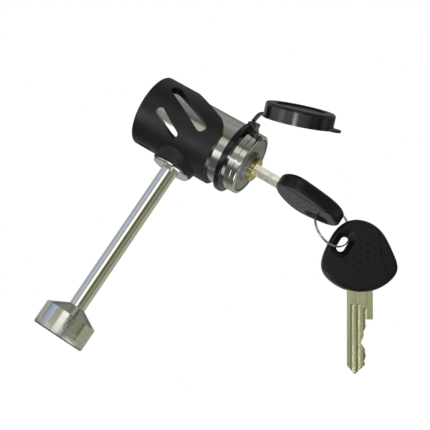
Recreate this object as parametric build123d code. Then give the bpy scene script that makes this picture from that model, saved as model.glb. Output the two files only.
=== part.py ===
from build123d import *
import math
import os

# Hitch pin lock. Origin on the pin axis at the seat face of the flanged bush.
# +Z runs up the pin into the lock head, +X runs out of the key face.
# Stored with the key in the lock and turned to its open position.

# ---- pin
PIN_R = 3.175
PIN_RELIEF_R = 2.9          # undercut where the pin enters the lock head
PIN_RELIEF_H = 0.8
PIN_SPAN = 61.23            # seat face down to the top of the pin head's cone
PIN_TIP_Z = 20.4
PIN_TIP_CHAMFER = 1.2
PIN_GROOVE_R = 2.0
PIN_GROOVE_H = 2.4
HEAD_R = 10.19
HEAD_CONE_H = 3.72
HEAD_H = 12.63
HEAD_EDGE = 0.45
TENON_R = 2.6               # reduced end of the rod pressed into the pin head
TENON_DEPTH = 9.0
TENON_GAP = 0.01

# ---- lock head
AXIS_Z = 16.83              # centre line of the housing
BODY_R = 12.47
BODY_BACK_X = -17.0
STRAP_SEAT_X = 17.55
COLLAR_R = 11.95
COLLAR_END_X = 22.75
FACE_X = 25.32
BEZEL_GAP = 0.3
RIM_ROUND = 0.55
CORE_BORE_R = 10.85
CORE_BORE_BACK_X = 7.3
CAM_ROOM_R = 6.2
CAM_ROOM_X = 3.5
NECK_R = 7.3
NECK_BOTTOM_Z = 1.0
BUSH_BORE_R = 5.26
CLIP_ROOM_R = 6.5

# ---- slots cut through the collar and bezel near the strap's tab
NOTCH_REAR = (47.0, 60.0)   # degrees up from the -Y side
NOTCH_FRONT = (38.0, 52.0)
NOTCH_DEPTH = 1.4

# ---- flanged bush
FLANGE_R = 7.555
FLANGE_H = 0.75
BUSH_R = 5.2
BUSH_TOP_Z = 8.2
BUSH_HOLE_R = 3.215
BUSH_HOLE_LEAD = 0.55       # chamfer at the mouth of the bush's hole
BUSH_NICK = (5.9, -5.2, 1.0, 0.8)   # assembly nick in the flange's edge: x, y, sizes
SEAL_Z = 4.2
SEAL_SECTION_R = 0.62
SEAL_INNER_R = 3.19
SEAL_ROOM_HALF = 0.75
CLIP_Z = 6.7
CLIP_H = 0.7
CLIP_GROOVE_R = 4.75
CLIP_OUTER_R = 6.2
CLIP_OPENING = 1.3          # half width of the gap in the bush's clip

# ---- moulded sleeve
SLEEVE_R = 14.09
SLEEVE_BORE_R = 12.52
SLEEVE_BACK_X = -19.4
SLEEVE_FRONT_X = 13.4
SLEEVE_END_ROUND = 0.8
BOSS_BOTTOM_R = 8.05
BOSS_TOP_R = 9.85
BOSS_BOTTOM_Z = 0.95
BOSS_TOP_Z = 9.0
CUT_ROUND_R = 7.9          # rounding of the sleeve's sloping cut, seen from the side
CUT_ROUND_X = 5.75
CUT_ANGLE = 22.15           # slope of the cut, degrees
# window ends: (x, degrees), (x, degrees), half width; each side has one of each
SIDE_WINDOWS = (
    ((-11.9, -8.5), (-2.4, -31.0), 1.65),
    ((-11.0, 34.5), (5.5, 0.5), 2.0),
)
DRAIN_WINDOW = ((-15.2, -90.0), (-12.0, -90.0), 1.4)

# ---- lock core
PLUG_Z = 16.08
PLUG_R = 4.8
PLUG_BORE_R = 4.85
PLUG_FACE_X = 28.1
PLUG_BACK_X = 6.4
CORE_R = 10.8
CORE_BACK_X = 7.4
CORE_STEP_X = 23.2
CORE_FACE_R = 10.4
CORE_FACE_X = 25.1
CORE_LIP_R = 5.9
CORE_LIP_X = 26.4
PIN_COUNT = 5
PIN_PITCH = 2.5
PIN_FIRST_X = 10.6
CHAMBER_R = 1.2
TUMBLER_R = 1.14
CHAMBER_TOP_Z = 26.9
DRIVER_H = 2.3
SPRING_R = 0.85
SPRING_WIRE_R = 0.13
SPRING_TURNS = 5
COVER_W = 3.0
COVER_H = 0.7
KEYWAY_W = 2.12
KEYWAY_LOW = -2.95          # across the plug, on the cut side of the key
KEYWAY_HIGH = 4.1
CLIP_PLATE_X = 6.65
CLIP_PLATE_T = 0.55
CLIP_PLATE_R = 5.7
CLIP_PLATE_MOUTH = 2.6      # half width of the gap in the plug's clip
PLUG_GROOVE_R = 4.1
KEYWAY_BACK_X = 8.4
SIDE_GAP = 0.04             # beside a clip in its groove
CAM_R = 3.9
CAM_BACK_X = 5.2
ECC_R = 2.12                # offset of the cam's drive peg
ECC_ANGLE = -45.0
PEG_R = 0.8
PEG_BACK_X = 3.85
SCREW_HEAD_R = 1.15
SCREW_HEAD_H = 0.6
SCREW_R = 0.7
SCREW_DEPTH = 0.95
SCREW_SLOT = (0.3, 0.18)    # depth, half width
FIT = 0.02                  # radial gap round the cam's screw

# ---- locking slide
SLIDE_TRAVEL = 3.0
SLIDE_Z = 15.05
SLIDE_T = 2.0
SLIDE_X = (-6.5, 4.9)
SLIDE_Y = (-5.5, 8.5)
SLIDE_HOLE_R = 3.42
SLIDE_SLOT_R = 2.2
TAB_X = 3.6
TAB_BOTTOM_Z = 12.35
TAB_HALF_Y = 2.6
PEG_SLOT_HALF = 0.95
SLIDE_CORNER = 0.8
POCKET_GAP = 0.08
POCKET_END_GAP = 0.3

# ---- cap strap, cap and tether
STRAP_X = (17.65, 20.0)
STRAP_R = 14.05
STRAP_BORE_R = 11.99
STRAP_ROUND = 0.55
TAB_ANGLE = 61.84           # degrees up from the -Y side
TAB_LENGTH_X = (17.9, 21.3)
TAB_W = 5.2
TAB_TOP_R = 14.75
CAP_OPEN = 104.14           # degrees the cap stands open
CAP_BASE = (34.31, 22.26)   # centre of the open cap's rim: x, distance from AXIS_Z line
CAP_R = 12.92
CAP_H = 5.66
CAP_ROUND = 1.0
CAP_BORE_R = 12.0
CAP_DEPTH = 4.75
CAP_RECESS_R = 9.26
CAP_RECESS_DEPTH = 0.5
CAP_BEAD_R = 0.25
PULL_REACH = 3.3
PULL_W = 7.0
PULL_T = 0.9
TETHER_W = 3.4
TETHER_T = 1.0
TETHER_START = (18.75, 15.05)
TETHER_LEAVES = (0.45, 0.9)
TETHER_GAP = 0.42           # from the cap's wall to the end of the strip

# ---- keys, drawn lying flat: u away from the blade, w across, bow bottom at u = 0
BLADE_T = 2.0
BLADE_SPINE_W = -4.56
BLADE_SHOULDER_W = 4.58
SHOULDER_LEN = 9.8
BLADE_LEN = 29.5
BLADE_ROOT = 11.0           # how far the blade is moulded into the bow
KEY_AXIS_W = -0.6           # line of the blade that lies on the plug's axis
BOW_T = 5.2
BOW_ROUND = 1.3
BOW_OUTLINE = (
    (-0.4, 26.4), (7.1, 23.0), (12.0, 14.6), (13.5, 8.2), (10.7, 4.0),
    (0.4, 0.0), (-9.8, 3.1), (-13.7, 7.6), (-11.7, 17.6), (-8.4, 23.1),
)
BITTING = (
    (1.8, 9.8), (2.15, 12.5), (1.15, 14.4), (1.25, 15.8), (0.2, 18.4), (1.8, 20.7),
    (1.7, 21.6), (2.2, 23.0), (1.35, 24.8), (1.8, 26.0), (0.2, 27.6),
)
BLADE_TIP = ((-1.9, 29.5), (-4.2, 26.9))
# long milled grooves: w, where each starts
MILLED = ((-2.9, 5.2), (-0.8, 5.2), (1.75, 6.6))
MILL_R = 1.0
MILL_DEPTH = 0.42
EYE = (-6.4, 17.3)          # ring hole in the bow: w, u
EYE_TILT = 31.5             # lean of the hole off the key's length, degrees
EYE_HALF_LEN = 3.0
EYE_HALF_W = 1.5
EYE_MOUTH_LEN = 5.9
EYE_MOUTH_W = 3.5
EYE_WEB = 0.35              # half thickness left at the narrow part of the hole
DOT_R = 0.4
DOT_DEPTH = 0.6
DOT_PITCH = 2.65
DOT_ORIGIN = (-0.2, 10.5)
DOT_DROP = 1.2              # how much lower every second column starts
DOT_COLUMNS = {-2: 1, -1: 3, 0: 4, 1: 4, 2: 3}
FINGER_GROOVE = ((6.7, 22.6), (7.7, 12.8), (10.9, 4.3))
FINGER_GROOVE_W = 0.8
FINGER_GROOVE_DEPTH = 0.55
KEY_BOW_X = 38.1            # bow bottom of the key in the lock

# spare key: centre of its ring hole, direction of its cut side, normal of its shown face
SPARE_EYE = (68.09, 9.99, 10.4)
SPARE_W_DIR = (0.833, 0.1849, 0.5214)
SPARE_NORMAL = (0.2168, -0.9762, -0.0001)

# ---- split ring
RING_CENTRE = (61.82, 8.5, 14.03)
RING_NORMAL = (-0.4528, 0.7362, -0.5029)
RING_R = 8.0
RING_WIRE_R = 0.24
RING_PITCH = 0.54
RING_TURNS = 1.96


def along_x(radius, x0, x1, z=AXIS_Z, y=0.0):
    """Round bar along X between x0 and x1."""
    bar = Cylinder(radius, x1 - x0, align=(Align.CENTER, Align.CENTER, Align.MIN))
    return Pos(x0, y, z) * (Rot(0, 90, 0) * bar)


def along_z(radius, z0, z1, x=0.0, y=0.0):
    """Round bar along Z between z0 and z1."""
    bar = Cylinder(radius, z1 - z0, align=(Align.CENTER, Align.CENTER, Align.MIN))
    return Pos(x, y, z0) * bar


def box(x0, x1, y0, y1, z0, z1):
    """Box between two corners."""
    return Pos((x0 + x1) / 2, (y0 + y1) / 2, (z0 + z1) / 2) * Box(x1 - x0, y1 - y0, z1 - z0)


def turned(points):
    """Solid of revolution about Z from (radius, z) points."""
    profile = Plane.XZ * make_face(Polyline(*points, close=True))
    return revolve(profile, Axis.Z)


def circle_edges(shape, radius, axis):
    """Full-circle edges of one radius whose centre line runs along the axis."""
    found = [e for e in shape.edges().filter_by(GeomType.CIRCLE) if abs(e.radius - radius) < 0.01]
    return [e for e in found if abs(e.tangent_at(0).dot(axis)) < 0.01]


# ---------------------------------------------------------------- pin
def pin_rod():
    """Smooth rod, undercut at the seat, grooved near its tip and with a tenon below."""
    rod = along_z(PIN_R, -PIN_SPAN, PIN_TIP_Z)
    rod = chamfer(rod.edges().sort_by(Axis.Z)[-1], PIN_TIP_CHAMFER)
    mid = SLIDE_Z + SLIDE_T / 2
    for z0, z1, radius in (
        (mid - PIN_GROOVE_H / 2, mid + PIN_GROOVE_H / 2, PIN_GROOVE_R),
        (0, PIN_RELIEF_H, PIN_RELIEF_R),
    ):
        rod -= along_z(PIN_R + 1, z0, z1) - along_z(radius, z0, z1)
    return rod + along_z(TENON_R, -PIN_SPAN - TENON_DEPTH, -PIN_SPAN)


def pin_head():
    """Round head with a conical shoulder, bored for the rod's tenon."""
    top = -PIN_SPAN
    bottom = top - HEAD_H
    body = turned((
        (0, top), (PIN_R, top), (HEAD_R, top - HEAD_CONE_H),
        (HEAD_R, bottom + HEAD_EDGE), (HEAD_R - HEAD_EDGE, bottom), (0, bottom),
    ))
    return body - along_z(TENON_R + TENON_GAP, top - TENON_DEPTH - TENON_GAP, top + 1)


# ---------------------------------------------------------------- bush
def flanged_bush():
    """Bush with the seat flange below the lock head, grooved for its seal and clip."""
    body = turned((
        (BUSH_HOLE_R + BUSH_HOLE_LEAD, 0), (FLANGE_R - 0.3, 0), (FLANGE_R, 0.3), (FLANGE_R, FLANGE_H),
        (BUSH_R, FLANGE_H), (BUSH_R, BUSH_TOP_Z), (BUSH_HOLE_R, BUSH_TOP_Z), (BUSH_HOLE_R, BUSH_HOLE_LEAD),
    ))
    seal_room_r = SEAL_INNER_R + 2 * SEAL_SECTION_R + 0.03
    seal_room = along_z(seal_room_r, SEAL_Z - SEAL_ROOM_HALF, SEAL_Z + SEAL_ROOM_HALF)
    clip_room = along_z(BUSH_R + 1, CLIP_Z, CLIP_Z + CLIP_H) - along_z(CLIP_GROOVE_R, CLIP_Z, CLIP_Z + CLIP_H)
    x, y, length, width = BUSH_NICK
    nick = Pos(x, y, 0) * Box(length, width, 4 * FLANGE_H)
    return body - seal_room - clip_room - nick


def pin_seal():
    """Ring seal round the pin."""
    return Pos(0, 0, SEAL_Z) * Torus(SEAL_INNER_R + SEAL_SECTION_R, SEAL_SECTION_R)


def bush_clip():
    """Open clip that holds the bush up in the lock head."""
    z0 = CLIP_Z + SIDE_GAP
    z1 = CLIP_Z + CLIP_H - SIDE_GAP
    ring = along_z(CLIP_OUTER_R, z0, z1) - along_z(CLIP_GROOVE_R + FIT, z0 - 1, z1 + 1)
    return ring - box(0, CLIP_OUTER_R + 1, -CLIP_OPENING, CLIP_OPENING, z0 - 1, z1 + 1)


# ---------------------------------------------------------------- housing
def sector(angle_from, angle_to, x0, x1, depth):
    """Cutter for a slot across the collar, angles up from the -Y side."""
    mid = (angle_from + angle_to) / 2
    width = 2 * COLLAR_R * math.sin(math.radians(angle_to - angle_from) / 2)
    block = box(x0, x1, -COLLAR_R - 2, -COLLAR_R + depth, -width / 2, width / 2)
    return Pos(0, 0, AXIS_Z) * (Rot(-mid, 0, 0) * block)


def lock_housing():
    body = along_x(BODY_R, BODY_BACK_X, STRAP_SEAT_X)
    body = chamfer(circle_edges(body, BODY_R, Vector(1, 0, 0)), 0.4)
    body += along_x(COLLAR_R, STRAP_SEAT_X - 1, COLLAR_END_X)
    body += along_z(NECK_R, NECK_BOTTOM_Z, AXIS_Z - 4)
    # core bore and the room behind it for cam, clip and peg
    body -= along_x(CORE_BORE_R, CORE_BORE_BACK_X, FACE_X + 5)
    body -= along_x(CAM_ROOM_R, CAM_ROOM_X, CORE_BORE_BACK_X + 1, z=PLUG_Z)
    # pin hole, bush bore and the room for the bush's clip
    body -= along_z(BUSH_HOLE_R, 0, PIN_TIP_Z + 0.8)
    body -= along_z(BUSH_BORE_R, 0, BUSH_TOP_Z + 0.1)
    body -= along_z(CLIP_ROOM_R, CLIP_Z - 0.1, CLIP_Z + CLIP_H + 0.1)
    # slide pocket
    half_y = SLIDE_Y[1] + POCKET_END_GAP
    body -= box(SLIDE_X[0] - POCKET_END_GAP, CORE_BORE_BACK_X + 0.5, -half_y, half_y,
                SLIDE_Z - POCKET_GAP, SLIDE_Z + SLIDE_T + POCKET_GAP)
    body -= sector(NOTCH_REAR[0], NOTCH_REAR[1], 20.1, COLLAR_END_X + 1, NOTCH_DEPTH)
    return body


def front_bezel():
    x0 = COLLAR_END_X + BEZEL_GAP
    ring = along_x(COLLAR_R, x0, FACE_X) - along_x(CORE_BORE_R, x0 - 1, FACE_X + 1)
    spigot = along_x(COLLAR_R - 0.45, COLLAR_END_X + 0.02, x0 + 0.5)
    ring += spigot - along_x(CORE_BORE_R, x0 - 1, FACE_X)
    front = [e for e in circle_edges(ring, COLLAR_R, Vector(1, 0, 0)) if e.center().X > FACE_X - 0.01]
    ring = fillet(front, RIM_ROUND)
    return ring - sector(NOTCH_FRONT[0], NOTCH_FRONT[1], x0 - 1, FACE_X + 1, NOTCH_DEPTH + 0.4)


# ---------------------------------------------------------------- sleeve
def sleeve_cut():
    """Everything above and ahead of the sleeve's sloping, rounded front edge."""
    slope = math.radians(CUT_ANGLE)
    tangent = (CUT_ROUND_X + CUT_ROUND_R * math.sin(slope), CUT_ROUND_R * math.cos(slope))
    reach = 30.0
    far = (tangent[0] - reach * math.cos(slope), tangent[1] + reach * math.sin(slope))
    mid = (CUT_ROUND_X + CUT_ROUND_R * math.cos(math.radians(34)), CUT_ROUND_R * math.sin(math.radians(34)))
    end = (CUT_ROUND_X + CUT_ROUND_R, 0)
    outline = [
        Line(far, tangent),
        ThreePointArc(tangent, mid, end),
        Line(end, (40, 0)),
        Line((40, 0), (40, 40)),
        Line((40, 40), (far[0], 40)),
        Line((far[0], 40), far),
    ]
    face = Plane.XZ.offset(30) * make_face(outline)
    return Pos(0, 0, AXIS_Z) * extrude(face, -60)


def window_cutter(start, end, half):
    """Long round-ended slot through the sleeve wall, pointing at its centre line."""
    mid_angle = (start[1] + end[1]) / 2
    across = [SLEEVE_R * math.sin(math.radians(a - mid_angle)) for a in (start[1], end[1])]
    length = math.hypot(end[0] - start[0], across[1] - across[0])
    lean = math.degrees(math.atan2(across[1] - across[0], end[0] - start[0]))
    slot = SlotCenterToCenter(length, 2 * half)
    centre_x = (start[0] + end[0]) / 2
    centre_z = (across[0] + across[1]) / 2
    placed = Plane.XZ.offset(SLEEVE_R + 2) * (Pos(centre_x, centre_z) * (Rot(0, 0, lean) * slot))
    return Pos(0, 0, AXIS_Z) * (Rot(-mid_angle, 0, 0) * extrude(placed, -6))


def rubber_sleeve():
    body = along_x(SLEEVE_R, SLEEVE_BACK_X, SLEEVE_FRONT_X)
    ends = circle_edges(body, SLEEVE_R, Vector(1, 0, 0))
    body = fillet([e for e in ends if e.center().X < 0], SLEEVE_END_ROUND)
    boss = turned((
        (0, BOSS_BOTTOM_Z), (BOSS_BOTTOM_R - 0.3, BOSS_BOTTOM_Z), (BOSS_BOTTOM_R, BOSS_BOTTOM_Z + 0.3),
        (BOSS_TOP_R, BOSS_TOP_Z), (0, BOSS_TOP_Z),
    ))
    body += boss
    body -= along_x(SLEEVE_BORE_R, BODY_BACK_X - 0.06, SLEEVE_FRONT_X + 1)
    body -= along_z(NECK_R + 0.05, 0, BOSS_TOP_Z)
    body -= sleeve_cut()
    for window in SIDE_WINDOWS:
        cutter = window_cutter(*window)
        body -= cutter
        body -= mirror(cutter, Plane.XZ)
    return body - window_cutter(*DRAIN_WINDOW)


# ---------------------------------------------------------------- core
def pin_rows():
    """X of each tumbler."""
    return [PIN_FIRST_X + i * PIN_PITCH for i in range(PIN_COUNT)]


def core_shell():
    shell = along_x(CORE_R, CORE_BACK_X, CORE_STEP_X)
    shell += along_x(CORE_FACE_R, CORE_STEP_X - 1, CORE_FACE_X)
    shell += along_x(CORE_LIP_R, CORE_FACE_X - 1, CORE_LIP_X, z=PLUG_Z)
    shell -= along_x(PLUG_BORE_R, CORE_BACK_X - 1, CORE_LIP_X + 1, z=PLUG_Z)
    for x in pin_rows():
        shell -= along_z(CHAMBER_R, PLUG_Z, CHAMBER_TOP_Z, x=x)
    x0 = pin_rows()[0] - 1.8
    x1 = pin_rows()[-1] + 1.8
    shell -= box(x0, x1, -COVER_W / 2 - 0.02, COVER_W / 2 + 0.02, CHAMBER_TOP_Z - COVER_H, 30)
    return shell


def spring_cover():
    x0 = pin_rows()[0] - 1.75
    x1 = pin_rows()[-1] + 1.75
    return box(x0, x1, -COVER_W / 2, COVER_W / 2, CHAMBER_TOP_Z - COVER_H + 0.03, CHAMBER_TOP_Z)


def driver_pins():
    z0 = PLUG_Z + PLUG_BORE_R + 0.15
    return Compound([chamfer(along_z(TUMBLER_R, z0, z0 + DRIVER_H, x=x).edges(), 0.15) for x in pin_rows()])


def driver_springs():
    z0 = PLUG_Z + PLUG_BORE_R + 0.15 + DRIVER_H + SPRING_WIRE_R + 0.03
    z1 = CHAMBER_TOP_Z - COVER_H - SPRING_WIRE_R - 0.03
    path = Helix(pitch=(z1 - z0) / SPRING_TURNS, height=z1 - z0, radius=SPRING_R)
    section = Plane(origin=path @ 0, z_dir=path % 0) * Circle(SPRING_WIRE_R)
    coil = sweep(section, path=path, is_frenet=True)
    return Compound([Pos(x, 0, z0) * coil for x in pin_rows()])


def key_pins():
    y0 = -PLUG_R + 0.15
    y1 = KEYWAY_LOW - 0.02
    stub = Rot(90, 0, 0) * Cylinder(TUMBLER_R, y1 - y0)
    stub = chamfer(stub.edges(), 0.2)
    return Compound([Pos(x, (y0 + y1) / 2, PLUG_Z) * stub for x in pin_rows()])


def core_plug():
    plug = along_x(PLUG_R, PLUG_BACK_X, PLUG_FACE_X, z=PLUG_Z)
    front = [e for e in circle_edges(plug, PLUG_R, Vector(1, 0, 0)) if e.center().X > PLUG_FACE_X - 0.01]
    plug = chamfer(front, 0.35)
    plug -= box(KEYWAY_BACK_X, PLUG_FACE_X + 1, KEYWAY_LOW, KEYWAY_HIGH,
                PLUG_Z - KEYWAY_W / 2, PLUG_Z + KEYWAY_W / 2)
    for x in pin_rows():
        bore = Rot(90, 0, 0) * Cylinder(CHAMBER_R, PLUG_R)
        plug -= Pos(x, -PLUG_R / 2 - 0.5, PLUG_Z) * bore
    x0 = CLIP_PLATE_X - SIDE_GAP
    x1 = CLIP_PLATE_X + CLIP_PLATE_T + SIDE_GAP
    plug -= along_x(PLUG_R + 1, x0, x1, z=PLUG_Z) - along_x(PLUG_GROOVE_R, x0, x1, z=PLUG_Z)
    plug -= along_x(SCREW_R, PLUG_BACK_X - 1, PLUG_BACK_X + SCREW_DEPTH + 0.02, z=PLUG_Z)
    return plug


def plug_clip():
    x0 = CLIP_PLATE_X
    x1 = CLIP_PLATE_X + CLIP_PLATE_T
    ring = along_x(CLIP_PLATE_R, x0, x1, z=PLUG_Z)
    ring -= along_x(PLUG_GROOVE_R + FIT, x0 - 1, x1 + 1, z=PLUG_Z)
    half = CLIP_PLATE_MOUTH
    return ring - box(x0 - 1, x1 + 1, 0, CLIP_PLATE_R + 1, PLUG_Z - half, PLUG_Z + half)


def plug_cam():
    disc = along_x(CAM_R, CAM_BACK_X, PLUG_BACK_X - 0.01, z=PLUG_Z)
    angle = math.radians(ECC_ANGLE)
    disc += along_x(PEG_R, PEG_BACK_X, CAM_BACK_X + 0.5,
                    z=PLUG_Z + ECC_R * math.sin(angle), y=ECC_R * math.cos(angle))
    disc -= along_x(SCREW_HEAD_R + FIT, CAM_BACK_X - 0.2, CAM_BACK_X + SCREW_HEAD_H, z=PLUG_Z)
    disc -= along_x(SCREW_R + FIT, CAM_BACK_X, PLUG_BACK_X + 1, z=PLUG_Z)
    return disc


def cam_screw():
    head = along_x(SCREW_HEAD_R, CAM_BACK_X + FIT, CAM_BACK_X + SCREW_HEAD_H - FIT, z=PLUG_Z)
    shank = along_x(SCREW_R - FIT, CAM_BACK_X + 2 * FIT, PLUG_BACK_X + SCREW_DEPTH, z=PLUG_Z)
    depth, half = SCREW_SLOT
    slot = box(CAM_BACK_X, CAM_BACK_X + depth, -2 * SCREW_HEAD_R, 2 * SCREW_HEAD_R, PLUG_Z - half, PLUG_Z + half)
    return head + shank - slot


def locking_slide():
    top = SLIDE_Z + SLIDE_T
    peg_y = ECC_R * math.cos(math.radians(ECC_ANGLE))
    plate = box(SLIDE_X[0], SLIDE_X[1], SLIDE_Y[0], SLIDE_Y[1], SLIDE_Z, top)
    plate = chamfer(plate.edges().filter_by(Axis.Z), SLIDE_CORNER)
    plate += box(TAB_X, SLIDE_X[1], peg_y - TAB_HALF_Y, peg_y + TAB_HALF_Y, TAB_BOTTOM_Z, SLIDE_Z + 0.5)
    plate -= along_z(SLIDE_HOLE_R, SLIDE_Z - 5, top + 1)
    plate -= along_z(SLIDE_SLOT_R, SLIDE_Z - 5, top + 1, y=SLIDE_TRAVEL)
    plate -= box(-SLIDE_SLOT_R, SLIDE_SLOT_R, 0, SLIDE_TRAVEL, SLIDE_Z - 5, top + 1)
    peg_slot = box(TAB_X - 0.5, SLIDE_X[1] + 1, peg_y - PEG_SLOT_HALF, peg_y + PEG_SLOT_HALF,
                   TAB_BOTTOM_Z + 0.5, PLUG_Z - 0.5)
    return plate - peg_slot


# ---------------------------------------------------------------- cap and strap
def tab_frame():
    """Plane through the housing axis and the strap's tab: x along X, y outward."""
    angle = math.radians(TAB_ANGLE)
    out = Vector(0, -math.cos(angle), math.sin(angle))
    return Plane(origin=(0, 0, AXIS_Z), x_dir=(1, 0, 0), z_dir=Vector(1, 0, 0).cross(out))


def cap_strap():
    strap = along_x(STRAP_R, STRAP_X[0], STRAP_X[1])
    strap = fillet(circle_edges(strap, STRAP_R, Vector(1, 0, 0)), STRAP_ROUND)
    outline = Rectangle(TAB_LENGTH_X[1] - TAB_LENGTH_X[0], TAB_TOP_R - COLLAR_R)
    centre = ((TAB_LENGTH_X[0] + TAB_LENGTH_X[1]) / 2, (TAB_TOP_R + COLLAR_R) / 2)
    tab = extrude(tab_frame() * (Pos(*centre) * outline), TAB_W / 2, both=True)
    tab = fillet(tab.edges(), 0.35)
    strap += tab
    return strap - along_x(STRAP_BORE_R, STRAP_X[0] - 1, TAB_LENGTH_X[1] + 1)


def cap_plane():
    """Plane on the open cap's rim: x away from the tether, z out of the cap's top."""
    frame = tab_frame()
    lift = math.radians(CAP_OPEN)
    normal = frame.x_dir * math.cos(lift) + frame.y_dir * math.sin(lift)
    away = frame.x_dir * math.sin(lift) - frame.y_dir * math.cos(lift)
    origin = frame.origin + frame.x_dir * CAP_BASE[0] + frame.y_dir * CAP_BASE[1]
    return Plane(origin=origin, x_dir=away, z_dir=normal)


def dust_cap():
    body = Cylinder(CAP_R, CAP_H, align=(Align.CENTER, Align.CENTER, Align.MIN))
    body = fillet(body.edges().group_by(Axis.Z)[-1], CAP_ROUND)
    lip = Cylinder(CAP_R + 0.35, PULL_T, align=(Align.CENTER, Align.CENTER, Align.MIN))
    pull = Pos(CAP_R + PULL_REACH - PULL_W / 2, 0, 0) * Cylinder(
        PULL_W / 2, PULL_T, align=(Align.CENTER, Align.CENTER, Align.MIN))
    body += lip + pull
    body += Pos(CAP_R - 1, 0, PULL_T / 2) * Box(PULL_REACH, PULL_W, PULL_T)
    body -= Cylinder(CAP_BORE_R, 2 * CAP_DEPTH)
    bead = Pos(0, 0, 0.6) * Torus(CAP_BORE_R + 0.05, CAP_BEAD_R)
    recess = Cylinder(CAP_RECESS_R, CAP_RECESS_DEPTH, align=(Align.CENTER, Align.CENTER, Align.MAX))
    body += bead
    body -= Pos(0, 0, CAP_H) * recess
    return cap_plane() * body


def cap_tether():
    lift = math.radians(CAP_OPEN)
    away = (math.sin(lift), -math.cos(lift))
    reach = CAP_R + TETHER_GAP
    half = TETHER_T / 2
    end = (CAP_BASE[0] - away[0] * reach + half * math.cos(lift),
           CAP_BASE[1] - away[1] * reach + half * math.sin(lift))
    path = Spline(TETHER_START, end, tangents=(TETHER_LEAVES, away))
    return extrude(tab_frame() * strip_along(path), TETHER_W / 2, both=True)


def strip_along(path):
    """Face of constant thickness along a plane curve."""
    steps = [path.position_at(i / 6) for i in range(7)]
    normals = [path.tangent_at(i / 6).rotate(Axis.Z, 90) for i in range(7)]
    left = Spline(*[p + n * (TETHER_T / 2) for p, n in zip(steps, normals)])
    right = Spline(*[p - n * (TETHER_T / 2) for p, n in zip(steps, normals)])
    return make_face([left, Line(left @ 1, right @ 1), right, Line(right @ 0, left @ 0)])


# ---------------------------------------------------------------- keys
def blade_flat():
    """Blade lying flat: x = across (w), y = -distance from the bow bottom."""
    points = [(BLADE_SPINE_W, BLADE_ROOT), (BLADE_SHOULDER_W, BLADE_ROOT), (BLADE_SHOULDER_W, -SHOULDER_LEN)]
    points += [(w, -d) for w, d in BITTING]
    points += [(w, -d) for w, d in BLADE_TIP]
    points += [(BLADE_SPINE_W, -BLADE_TIP[1][1] + 0.5)]
    blade = extrude(make_face(Polyline(*points, close=True)), BLADE_T / 2, both=True)
    for w, start in MILLED:
        blade -= milled_groove(w, start, 1)
        blade -= milled_groove(w, start, -1)
    return blade - eye_cutter()


def milled_groove(w, start, side):
    """Round-bottomed groove with a rounded start, running out at the blade's tip."""
    height = side * (BLADE_T / 2 - MILL_DEPTH + MILL_R)
    length = BLADE_LEN - start + 1
    groove = Pos(w, -start - length / 2, height) * (Rot(90, 0, 0) * Cylinder(MILL_R, length))
    return groove + Pos(w, -start, height) * Sphere(MILL_R)


def eye_cutter():
    """Ring hole: narrow in the middle, opening to both faces of the bow."""
    def slot(half_len, half_w):
        return SlotOverall(2 * half_len, 2 * half_w)
    place = Pos(EYE[0], EYE[1], 0) * Rot(0, 0, 90 - EYE_TILT)
    core = extrude(slot(EYE_HALF_LEN, EYE_HALF_W), BOW_T, both=True)
    depth = BOW_T / 2 - EYE_WEB + 0.05
    mouth = loft([slot(EYE_HALF_LEN, EYE_HALF_W), Pos(0, 0, depth) * slot(EYE_MOUTH_LEN, EYE_MOUTH_W)])
    upper = Pos(0, 0, EYE_WEB) * mouth
    return place * (core + upper + mirror(upper, Plane.XY))


def dot_places():
    """Grip dots in staggered columns."""
    places = []
    for column, rows in DOT_COLUMNS.items():
        first = DOT_ORIGIN[1] - DOT_DROP * (column % 2)
        for row in range(rows):
            places.append((DOT_ORIGIN[0] + column * DOT_PITCH, first + row * DOT_PITCH))
    return places


def bow_flat():
    outline = make_face(Spline(*BOW_OUTLINE, periodic=True))
    bow = extrude(outline, BOW_T / 2, both=True)
    rims = [e for e in bow.edges() if abs(abs(e.center().Z) - BOW_T / 2) < 0.01]
    bow = fillet(rims, BOW_ROUND)
    groove_path = ThreePointArc(*FINGER_GROOVE)
    groove = make_face(offset(groove_path, FINGER_GROOVE_W / 2, side=Side.BOTH))
    groove_cut = extrude(groove, 1)
    bow -= Pos(0, 0, BOW_T / 2 - FINGER_GROOVE_DEPTH) * groove_cut
    bow -= Pos(0, 0, -BOW_T / 2 + FINGER_GROOVE_DEPTH - 1) * groove_cut
    for w, u in dot_places():
        for side in (1, -1):
            bow -= Pos(w, u, side * BOW_T / 2) * Cylinder(DOT_R, 2 * DOT_DEPTH)
    bow -= eye_cutter()
    # room for the blade's root
    half = BLADE_T / 2 + 0.01
    root = box(BLADE_SPINE_W - 0.01, BLADE_SHOULDER_W + 0.01, -1, BLADE_ROOT + 0.01, -half, half)
    return bow - root


def key_location():
    """Key in the lock: cut side toward -Y, lying flat on the plug's axis."""
    plane = Plane(origin=(KEY_BOW_X, KEY_AXIS_W, PLUG_Z), x_dir=(0, -1, 0), z_dir=(0, 0, 1))
    return plane


def spare_location():
    plane = Plane(origin=SPARE_EYE, x_dir=SPARE_W_DIR, z_dir=SPARE_NORMAL)
    return plane.location * Location((-EYE[0], -EYE[1], 0))


def split_ring():
    height = RING_PITCH * RING_TURNS
    path = Helix(pitch=RING_PITCH, height=height, radius=RING_R)
    section = Plane(origin=path @ 0, z_dir=path % 0) * Circle(RING_WIRE_R)
    coil = Pos(0, 0, -height / 2) * sweep(section, path=path)
    return Plane(origin=RING_CENTRE, z_dir=RING_NORMAL) * coil


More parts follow.
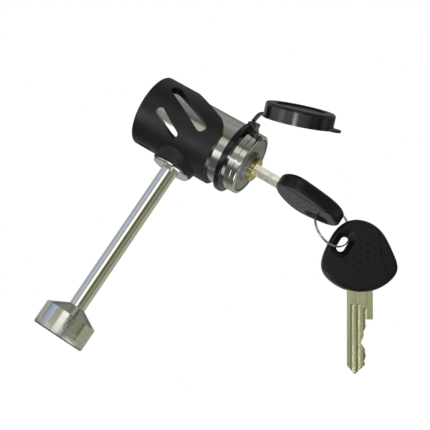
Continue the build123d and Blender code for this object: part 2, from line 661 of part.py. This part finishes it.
def main():
    os.makedirs("parts", exist_ok=True)
    nodes = {
        "pin_rod": pin_rod(),
        "pin_head": pin_head(),
        "flanged_bush": flanged_bush(),
        "pin_seal": pin_seal(),
        "bush_clip": bush_clip(),
        "lock_housing": lock_housing(),
        "front_bezel": front_bezel(),
        "rubber_sleeve": rubber_sleeve(),
        "core_shell": core_shell(),
        "spring_cover": spring_cover(),
        "driver_pins": driver_pins(),
        "driver_springs": driver_springs(),
        "core_plug": core_plug(),
        "key_pins": key_pins(),
        "plug_clip": plug_clip(),
        "plug_cam": plug_cam(),
        "cam_screw": cam_screw(),
        "locking_slide": locking_slide(),
        "cap_strap": cap_strap(),
        "cap_tether": cap_tether(),
        "dust_cap": dust_cap(),
        "key_blade": key_location() * blade_flat(),
        "key_bow": key_location() * bow_flat(),
        "split_ring": split_ring(),
        "spare_key_blade": spare_location() * blade_flat(),
        "spare_key_bow": spare_location() * bow_flat(),
    }
    for name, shape in nodes.items():
        export_step(shape, f"parts/{name}.step")


main()
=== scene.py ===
import math

import bpy
from mathutils import Matrix, Vector


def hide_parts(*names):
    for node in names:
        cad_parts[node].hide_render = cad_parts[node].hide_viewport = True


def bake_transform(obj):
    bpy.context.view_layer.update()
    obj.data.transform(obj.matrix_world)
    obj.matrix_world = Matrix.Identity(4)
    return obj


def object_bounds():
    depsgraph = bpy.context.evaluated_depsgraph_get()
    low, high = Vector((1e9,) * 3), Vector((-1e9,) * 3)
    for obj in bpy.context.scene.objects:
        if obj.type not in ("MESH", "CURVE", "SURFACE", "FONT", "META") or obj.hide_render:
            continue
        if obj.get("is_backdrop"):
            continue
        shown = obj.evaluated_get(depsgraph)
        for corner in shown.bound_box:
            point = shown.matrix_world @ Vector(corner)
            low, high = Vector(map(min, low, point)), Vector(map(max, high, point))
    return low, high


# Hitch pin lock: looks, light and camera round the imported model. Metres, row frame.

MM = 0.001

# ---- camera: where it stands and how it is turned
CAMERA_PLACE = (0.1269, -0.34357, -0.07219)
CAMERA_RIGHT = (0.8274, 0.1426, 0.5432)
CAMERA_UP = (-0.4862, -0.3028, 0.8197)
LENS_MM = 83.4
SENSOR_MM = 36.0
NEAREST_SEEN = 0.01
CAMERA_AZIMUTH = 16.6       # degrees from -Y towards +X

# ---- light
LAMP_AZIMUTH = 10           # degrees from the camera's direction towards +X
LAMP_ELEVATION = 70
LAMP_DISTANCE = 1.0
LAMP_SIZE = 0.8
LAMP_POWER = 0.5
FLOOR_SIZE = 6.0
FLOOR_GAP = 0.2 * MM
FLOOR_PAINT = (0.92, 0.92, 0.91)
FLOOR_GLOW = 0.75           # own light of the floor, so that it stays as white as the backdrop

# Light round the object, by direction: degrees from the camera's direction towards +X
ROOM_BANDS = (
    (-180, (0.42, 0.42, 0.36)),
    (-106, (0.52, 0.52, 0.48)),
    (-102, (0.12, 0.13, 0.16)),
    (-98, (0.36, 0.48, 0.86)),
    (-66, (0.62, 0.74, 1.00)),
    (-61, (0.46, 0.47, 0.38)),
    (-36, (0.50, 0.51, 0.42)),
    (-30, (1.50, 1.48, 1.42)),
    (-8, (1.60, 1.58, 1.50)),
    (-2, (0.45, 0.45, 0.38)),
    (3, (0.08, 0.085, 0.05)),
    (20, (0.13, 0.14, 0.085)),
    (46, (0.34, 0.35, 0.24)),
    (64, (0.22, 0.23, 0.15)),
    (73, (0.07, 0.07, 0.045)),
    (80, (0.46, 0.45, 0.34)),
    (180, (0.42, 0.42, 0.36)),
)

# Light from above, by height: 0.5 is level, 1 is straight up
ROOM_TOP = ((0.66, 0.12), (0.74, 0.14), (0.82, 0.27), (0.91, 0.29), (0.95, 0.42), (1.0, 0.30))
TOP_TAKES_OVER = ((0.655, 0.0), (0.70, 1.0))    # from the bands to the light from above, by height

# Painted reflection: the floor's glow as only reflections see it, in darker and lighter bands from
# behind the object (0) to in front of it (1)
FLOOR_PAINTED_REFLECTION_BANDS = (
    (0.0, 0.42), (0.14, 0.42), (0.24, 0.12), (0.44, 0.10),
    (0.51, 0.55), (0.57, 0.6), (0.63, 1.5), (0.68, 1.4), (0.76, 0.3), (1.0, 0.35),
)
FLOOR_BAND_SPAN = 0.5       # metres
FLOOR_BAND_BACK = 0.15      # how far behind the pin's axis the bands start
FLOOR_BAND_SLANT = 0.5      # how far the bands move forward for each metre to the right
# Painted highlights: bright glowing spots on the floor that only reflections see, placed where the
# metal's highlights should fall
FLOOR_PAINTED_HIGHLIGHT_SPOTS = (   # x, y, radius, glow
    (0.064, -0.18, 0.032, 10.0),
    (0.045, -0.02, 0.035, 3.2),
    (-0.065, -0.10, 0.050, 1.8),
)
FLOOR_SPOT_EDGE = 0.4       # share of the radius where a spot starts to fade
WHITE = (1.0, 1.0, 1.0)
BLACK = (0.0, 0.0, 0.0)

# ---- soft strip between the cap and its strap
TETHER_GRAIN = 0.2 * MM
TETHER_SMOOTHING = 4

# ---- metals
TURNED_LINES = 2600.0       # fineness of the lathe rings
TURNED_DEPTH = 0.003        # their height, mm

# Directions of the spare key: across its blade, and out of its shown face
SPARE_ACROSS = (0.833, 0.185, 0.521)
SPARE_OUT = (0.217, -0.976, 0.0)


# ---------------------------------------------------------------- node helpers
class Nodes:
    """Short way to write a node tree."""

    def __init__(self, tree):
        self.tree = tree
        self.tree.nodes.clear()

    def feed(self, socket, value):
        """Links a socket to another, or gives it a fixed value."""
        if isinstance(value, bpy.types.NodeSocket):
            self.tree.links.new(value, socket)
        elif socket.type == "RGBA":
            socket.default_value = (*value, 1.0)
        else:
            socket.default_value = value

    def add(self, kind, **settings):
        node = self.tree.nodes.new(kind)
        for name, value in settings.items():
            if name in node.inputs:
                self.feed(node.inputs[name], value)
            else:
                setattr(node, name, value)
        return node

    def ramp(self, factor, stops):
        """Colour ramp; each stop is (position, grey or colour)."""
        node = self.add("ShaderNodeValToRGB", Fac=factor)
        elements = node.color_ramp.elements
        while len(elements) < len(stops):
            elements.new(1.0)
        for element, (position, tone) in zip(elements, stops):
            element.position = position
            rgb = tone if isinstance(tone, tuple) else (tone, tone, tone)
            element.color = (*rgb, 1.0)
        return node.outputs["Color"]

    def place(self, scale=(1, 1, 1)):
        """Object coordinates, scaled per axis."""
        coords = self.add("ShaderNodeTexCoord").outputs["Object"]
        return self.add("ShaderNodeMapping", Vector=coords, Scale=scale).outputs["Vector"]

    def turned_place(self, axes, scales):
        """Object coordinates measured along three axes of a piece's own, each scaled."""
        coords = self.add("ShaderNodeTexCoord").outputs["Object"]
        joined = self.add("ShaderNodeCombineXYZ")
        for name, axis, scale in zip("XYZ", axes, scales):
            dot = self.add("ShaderNodeVectorMath", operation="DOT_PRODUCT")
            self.feed(dot.inputs[0], coords)
            self.feed(dot.inputs[1], Vector(axis) * scale)
            self.feed(joined.inputs[name], dot.outputs["Value"])
        return joined.outputs["Vector"]

    def noise(self, vector, scale=1.0, detail=3.0, rough=0.55):
        settings = {"Vector": vector, "Scale": scale, "Detail": detail, "Roughness": rough}
        return self.add("ShaderNodeTexNoise", **settings).outputs["Fac"]

    def math(self, operation, *values):
        node = self.add("ShaderNodeMath", operation=operation)
        for socket, value in zip(node.inputs, values):
            self.feed(socket, value)
        return node.outputs["Value"]

    def mix(self, factor, a, b, how="MIX"):
        """Mix of two colours."""
        node = self.add("ShaderNodeMix", data_type="RGBA", blend_type=how)
        live = [socket for socket in node.inputs if socket.enabled]
        for socket, value in zip(live, (factor, a, b)):
            self.feed(socket, value)
        return next(socket for socket in node.outputs if socket.enabled)

    def rough(self, scale, low, high):
        """Roughness that wanders between two values."""
        return self.ramp(self.noise(self.place(), scale), ((0.3, low), (0.7, high)))

    def bump(self, height, strength, distance, normal=None):
        node = self.add("ShaderNodeBump", Height=height, Strength=strength, Distance=distance)
        if normal is not None:
            self.feed(node.inputs["Normal"], normal)
        return node.outputs["Normal"]


def material(name, color, metallic, roughness, normal=None, specular=None):
    """Principled material from functions that build its colour, roughness and normal."""
    mat = bpy.data.materials.new(name)
    mat.use_nodes = True
    n = Nodes(mat.node_tree)
    shader = n.add("ShaderNodeBsdfPrincipled", Metallic=metallic)
    n.feed(shader.inputs["Base Color"], color(n))
    n.feed(shader.inputs["Roughness"], roughness(n))
    if normal:
        n.feed(shader.inputs["Normal"], normal(n))
    if specular is not None:
        n.feed(shader.inputs["Specular IOR Level"], specular)
    out = n.add("ShaderNodeOutputMaterial")
    n.feed(out.inputs["Surface"], shader.outputs["BSDF"])
    return mat


def scaled(tone, factor):
    return tuple(factor * c for c in tone)


# ---------------------------------------------------------------- metals
def turned_steel(name, axis, tone, rough):
    """Steel turned on a lathe: fine rings across the axis and faint stains."""
    along = tuple(TURNED_LINES if i == axis else 25.0 for i in range(3))
    broad = tuple(TURNED_LINES / 7 if i == axis else 12.0 for i in range(3))

    def color(n):
        rings = n.noise(n.place(along), detail=2.0)
        stain = n.noise(n.place(), 160.0, detail=4.0)
        base = n.mix(n.ramp(rings, ((0.35, 0.0), (0.62, 1.0))), scaled(tone, 0.88), tone)
        return n.mix(n.ramp(stain, ((0.45, 0.0), (0.75, 0.5))), base, scaled(tone, 0.86))

    def roughness(n):
        rings = n.noise(n.place(broad), detail=2.0)
        return n.ramp(rings, ((0.3, rough * 0.85), (0.7, rough * 1.2)))

    def normal(n):
        fine = n.bump(n.noise(n.place(along), detail=2.0), 0.3, TURNED_DEPTH * MM)
        return n.bump(n.noise(n.place(broad), detail=2.0), 0.12, 2 * TURNED_DEPTH * MM, fine)

    return material(name, color, 1.0, roughness, normal)


def drawn_steel(name, tone, rough):
    """Ground and polished pin: faint lines along its length."""
    def color(n):
        lines = n.noise(n.place((900.0, 900.0, 18.0)))
        return n.mix(n.ramp(lines, ((0.3, 0.0), (0.7, 1.0))), scaled(tone, 0.9), tone)

    def roughness(n):
        smear = n.noise(n.place((120.0, 120.0, 30.0)), detail=4.0)
        return n.ramp(smear, ((0.3, rough * 0.7), (0.75, rough * 1.6)))

    def normal(n):
        lines = n.noise(n.place((1500.0, 1500.0, 30.0)), detail=2.0)
        return n.bump(lines, 0.06, 0.001 * MM)

    return material(name, color, 1.0, roughness, normal)


def spring_steel():
    """Plain wire and stamped steel."""
    dark, light = (0.42, 0.41, 0.36), (0.66, 0.64, 0.57)

    def color(n):
        return n.mix(n.noise(n.place(), 700.0), dark, light)

    return material("spring_steel_look", color, 1.0, lambda n: n.rough(900.0, 0.2, 0.38))


def cast_zinc():
    """Matt die-cast face with a fine skin."""
    dark, light, pit = (0.29, 0.31, 0.30), (0.40, 0.42, 0.40), (0.20, 0.21, 0.22)

    def color(n):
        cloud = n.noise(n.place(), 260.0, detail=5.0, rough=0.6)
        speck = n.noise(n.place(), 2200.0, detail=2.0)
        base = n.mix(n.ramp(cloud, ((0.3, 0.0), (0.7, 1.0))), dark, light)
        return n.mix(n.ramp(speck, ((0.6, 0.0), (0.72, 0.5))), base, pit)

    def normal(n):
        return n.bump(n.noise(n.place(), 1800.0), 0.35, 0.02 * MM)

    return material("zinc_look", color, 0.75, lambda n: n.rough(500.0, 0.38, 0.55), normal)


def brass():
    """Machined brass with tool marks round the plug."""
    dark, light, stained = (0.50, 0.43, 0.14), (0.80, 0.71, 0.32), (0.30, 0.25, 0.13)

    def marks(n):
        return n.noise(n.place((1800.0, 40.0, 40.0)))

    def color(n):
        tarnish = n.noise(n.place(), 320.0, detail=4.0)
        base = n.mix(marks(n), dark, light)
        return n.mix(n.ramp(tarnish, ((0.5, 0.0), (0.8, 0.6))), base, stained)

    def normal(n):
        return n.bump(marks(n), 0.4, 0.015 * MM)

    return material("brass_look", color, 1.0, lambda n: n.rough(600.0, 0.18, 0.36), normal)


def key_metal(name, axes, light, dark):
    """Nickel-plated key blank: milling lines along the blade, rubbed high spots."""
    def lines(n):
        return n.noise(n.turned_place(axes, (2400.0, 2400.0, 60.0)), detail=2.0)

    def color(n):
        wear = n.noise(n.place(), 420.0, detail=4.0)
        base = n.mix(n.ramp(lines(n), ((0.35, 0.0), (0.65, 1.0))), dark, light)
        return n.mix(n.ramp(wear, ((0.55, 0.0), (0.8, 0.5))), base, scaled(dark, 0.75))

    def normal(n):
        return n.bump(lines(n), 0.25, 0.004 * MM)

    return material(name, color, 1.0, lambda n: n.rough(500.0, 0.26, 0.40), normal)


# ---------------------------------------------------------------- rubber and plastic
def moulded(name, tone, rough, grain, grain_depth, specular, cloud_scale=90.0):
    """Moulded black rubber or plastic: fine grain, slightly greyer patches; grain depth in mm."""
    def color(n):
        cloud = n.noise(n.place(), cloud_scale, detail=5.0, rough=0.6)
        speck = n.noise(n.place(), grain, detail=2.0)
        lighter = scaled(tone, 2.0)
        base = n.mix(n.ramp(cloud, ((0.35, 0.0), (0.75, 0.6))), tone, lighter)
        return n.mix(n.ramp(speck, ((0.55, 0.0), (0.8, 0.35))), base, lighter)

    def roughness(n):
        cloud = n.noise(n.place(), cloud_scale * 1.7, detail=4.0)
        return n.ramp(cloud, ((0.3, rough * 0.88), (0.7, rough * 1.15)))

    def normal(n):
        return n.bump(n.noise(n.place(), grain), 0.5, grain_depth * MM)

    return material(name, color, 0.0, roughness, normal, specular)


# ---------------------------------------------------------------- pieces
def dress(frame):
    """Gives every CAD node its material; returns the strap's, for the soft strip."""
    pin = drawn_steel("pin_look", (0.80, 0.80, 0.76), 0.12)
    head = turned_steel("pin_head_look", 2, (0.68, 0.68, 0.61), 0.10)
    flange = drawn_steel("flange_look", (0.78, 0.78, 0.74), 0.10)
    housing = turned_steel("housing_look", 0, (0.66, 0.66, 0.60), 0.13)
    steel = spring_steel()
    gold = brass()
    zinc = cast_zinc()
    sleeve = moulded("sleeve_look", (0.0034, 0.0046, 0.0040), 0.42, 3200.0, 0.012, 0.46)
    rubber = moulded("strap_look", (0.0022, 0.0030, 0.0036), 0.16, 2600.0, 0.003, 0.5)
    bow_tone = (0.0034, 0.0044, 0.0040)
    plastic = moulded("bow_look", bow_tone, 0.36, 2300.0, 0.012, 0.34, cloud_scale=220.0)
    square = ((0, 1, 0), (0, 0, 1), (1, 0, 0))
    spare_along = tuple(Vector(SPARE_ACROSS).cross(Vector(SPARE_OUT)))
    # Painted light: each blade's tone is set to how bright it looks under this light; the first
    # key's is raised above its nickel's own tone, and the spare's yellower tone is its own but its
    # brightness is set the same way
    blade = key_metal("blade_look", square, (0.94, 0.94, 0.82), (0.82, 0.82, 0.69))
    spare_axes = (SPARE_ACROSS, SPARE_OUT, spare_along)
    spare_blade = key_metal("spare_blade_look", spare_axes, (0.76, 0.76, 0.50), (0.58, 0.58, 0.36))
    looks = {
        "pin_rod": pin, "pin_head": head, "flanged_bush": flange, "lock_housing": housing,
        "front_bezel": housing, "core_shell": zinc, "plug_cam": zinc, "core_plug": gold,
        "key_pins": gold, "driver_pins": gold, "spring_cover": gold, "rubber_sleeve": sleeve,
        "cap_strap": rubber, "dust_cap": rubber, "cap_tether": rubber, "pin_seal": rubber,
        "key_bow": plastic, "spare_key_bow": plastic,
        "key_blade": blade, "spare_key_blade": spare_blade,
    }
    for name, node in frame["nodes"].items():
        node.data.materials.clear()
        node.data.materials.append(looks.get(name, steel))
    return rubber


def tether(frame, look):
    """Smooth soft strip in the CAD tether's place, between the strap and the cap."""
    source = frame["nodes"]["cap_tether"]
    piece = bpy.data.objects.new("tether_strip", source.data.copy())
    piece.matrix_world = source.matrix_world
    bpy.context.scene.collection.objects.link(piece)
    remesh = piece.modifiers.new("even", "REMESH")
    remesh.mode = "VOXEL"
    remesh.voxel_size = TETHER_GRAIN
    remesh.use_smooth_shade = True
    soften = piece.modifiers.new("soften", "SMOOTH")
    soften.iterations = TETHER_SMOOTHING
    depsgraph = bpy.context.evaluated_depsgraph_get()
    even = bpy.data.meshes.new_from_object(piece.evaluated_get(depsgraph))
    piece.modifiers.clear()
    piece.data = even
    even.materials.clear()
    even.materials.append(look)
    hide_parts("cap_tether")
    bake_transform(piece)


# ---------------------------------------------------------------- stage
def floor():
    """Pale matt floor just under the pin head."""
    low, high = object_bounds()
    half = FLOOR_SIZE / 2
    z = low.z - FLOOR_GAP
    corners = [(-half, -half, z), (half, -half, z), (half, half, z), (-half, half, z)]
    mesh = bpy.data.meshes.new("floor")
    mesh.from_pydata(corners, [], [(0, 1, 2, 3)])
    mesh.materials.append(floor_look(z))
    obj = bpy.data.objects.new("floor", mesh)
    bpy.context.scene.collection.objects.link(obj)
    obj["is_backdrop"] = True


def floor_look(z):
    """White paint with an even glow; for reflections only, the glow is painted in darker and
    lighter bands and bright spots, a painted reflection and painted highlights on the metal.
    """
    mat = bpy.data.materials.new("floor_look")
    mat.use_nodes = True
    n = Nodes(mat.node_tree)
    glossy = n.add("ShaderNodeLightPath").outputs["Is Glossy Ray"]
    place = n.add("ShaderNodeTexCoord").outputs["Object"]
    split = n.add("ShaderNodeSeparateXYZ", Vector=place)
    forward = n.math("DIVIDE", split.outputs["Y"], -FLOOR_BAND_SPAN)
    sideways = n.math("MULTIPLY", split.outputs["X"], -FLOOR_BAND_SLANT / FLOOR_BAND_SPAN)
    across = n.math("ADD", n.math("ADD", forward, sideways), FLOOR_BAND_BACK / FLOOR_BAND_SPAN)
    # Painted reflection: the glow that only reflections see, in bands and bright spots
    seen = n.ramp(across, FLOOR_PAINTED_REFLECTION_BANDS)
    for x, y, radius, strength in FLOOR_PAINTED_HIGHLIGHT_SPOTS:
        reach = n.add("ShaderNodeVectorMath", operation="DISTANCE")
        n.feed(reach.inputs[0], place)
        n.feed(reach.inputs[1], (x, y, z))
        fade = n.math("DIVIDE", reach.outputs["Value"], radius)
        spot = n.ramp(fade, ((FLOOR_SPOT_EDGE, strength), (1.0, 0.0)))
        seen = n.mix(1.0, seen, spot, "ADD")
    # To reflections the paint is black and the glow is the painted bands and spots; to everything
    # else the floor is evenly white
    paint = n.add("ShaderNodeBsdfDiffuse", Color=n.mix(glossy, FLOOR_PAINT, BLACK))
    own = scaled(WHITE, FLOOR_GLOW)
    glow = n.add("ShaderNodeEmission", Color=n.mix(glossy, own, seen), Strength=1.0)
    both = n.add("ShaderNodeAddShader")
    n.feed(both.inputs[0], paint.outputs["BSDF"])
    n.feed(both.inputs[1], glow.outputs["Emission"])
    out = n.add("ShaderNodeOutputMaterial")
    n.feed(out.inputs["Surface"], both.outputs["Shader"])
    return mat


def room():
    """Soft light from all round, in bands as the metal shows it; plain white behind."""
    world = bpy.data.worlds.new("room")
    bpy.context.scene.world = world
    world.use_nodes = True
    n = Nodes(world.node_tree)
    direction = n.add("ShaderNodeTexCoord").outputs["Generated"]
    turn = (0, 0, math.radians(90 - CAMERA_AZIMUTH))
    turned = n.add("ShaderNodeMapping", Vector=direction, Rotation=turn).outputs["Vector"]
    around = n.add("ShaderNodeTexGradient", Vector=turned, gradient_type="RADIAL").outputs["Fac"]
    bands = n.ramp(around, [(0.5 + a / 360, tone) for a, tone in ROOM_BANDS])
    up = n.add("ShaderNodeSeparateXYZ", Vector=direction).outputs["Z"]
    height = n.math("MULTIPLY_ADD", up, 0.5, 0.5)
    light = n.mix(n.ramp(height, TOP_TAKES_OVER), bands, n.ramp(height, ROOM_TOP))
    seen = n.add("ShaderNodeLightPath").outputs["Is Camera Ray"]
    tone = n.mix(seen, light, WHITE)
    background = n.add("ShaderNodeBackground", Color=tone, Strength=1.0)
    out = n.add("ShaderNodeOutputWorld")
    n.feed(out.inputs["Surface"], background.outputs["Background"])


def top_light():
    """Soft area light from high up, facing the object."""
    low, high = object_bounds()
    a = math.radians(CAMERA_AZIMUTH + LAMP_AZIMUTH)
    e = math.radians(LAMP_ELEVATION)
    back = Vector((math.sin(a) * math.cos(e), -math.cos(a) * math.cos(e), math.sin(e)))
    data = bpy.data.lights.new("top_light", "AREA")
    data.shape = "RECTANGLE"
    data.size = LAMP_SIZE
    data.size_y = LAMP_SIZE
    data.energy = LAMP_POWER
    lamp = bpy.data.objects.new("top_light", data)
    lamp.location = (Vector(low) + Vector(high)) / 2 + back * LAMP_DISTANCE
    lamp.rotation_mode = "QUATERNION"
    lamp.rotation_quaternion = (-back).to_track_quat("-Z", "Y")
    bpy.context.scene.collection.objects.link(lamp)


def camera():
    """Camera at the photograph's viewing angle."""
    right = Vector(CAMERA_RIGHT).normalized()
    up = Vector(CAMERA_UP)
    up = (up - right * up.dot(right)).normalized()
    back = right.cross(up)
    data = bpy.data.cameras.new("camera")
    data.lens = LENS_MM
    data.sensor_width = SENSOR_MM
    data.clip_start = NEAREST_SEEN
    obj = bpy.data.objects.new("camera", data)
    turn = Matrix((right, up, back)).transposed()
    obj.matrix_world = Matrix.Translation(CAMERA_PLACE) @ turn.to_4x4()
    bpy.context.scene.collection.objects.link(obj)
    bpy.context.scene.camera = obj


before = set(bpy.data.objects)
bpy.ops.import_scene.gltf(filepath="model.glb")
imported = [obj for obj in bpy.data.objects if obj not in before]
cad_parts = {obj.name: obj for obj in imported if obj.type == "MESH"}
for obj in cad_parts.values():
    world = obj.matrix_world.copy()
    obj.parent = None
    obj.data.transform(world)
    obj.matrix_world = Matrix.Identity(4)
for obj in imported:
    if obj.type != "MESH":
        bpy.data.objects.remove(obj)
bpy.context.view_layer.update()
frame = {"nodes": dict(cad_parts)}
camera()
tether(frame, dress(frame))
floor()
room()
top_light()
bpy.context.scene.view_settings.view_transform = "Standard"
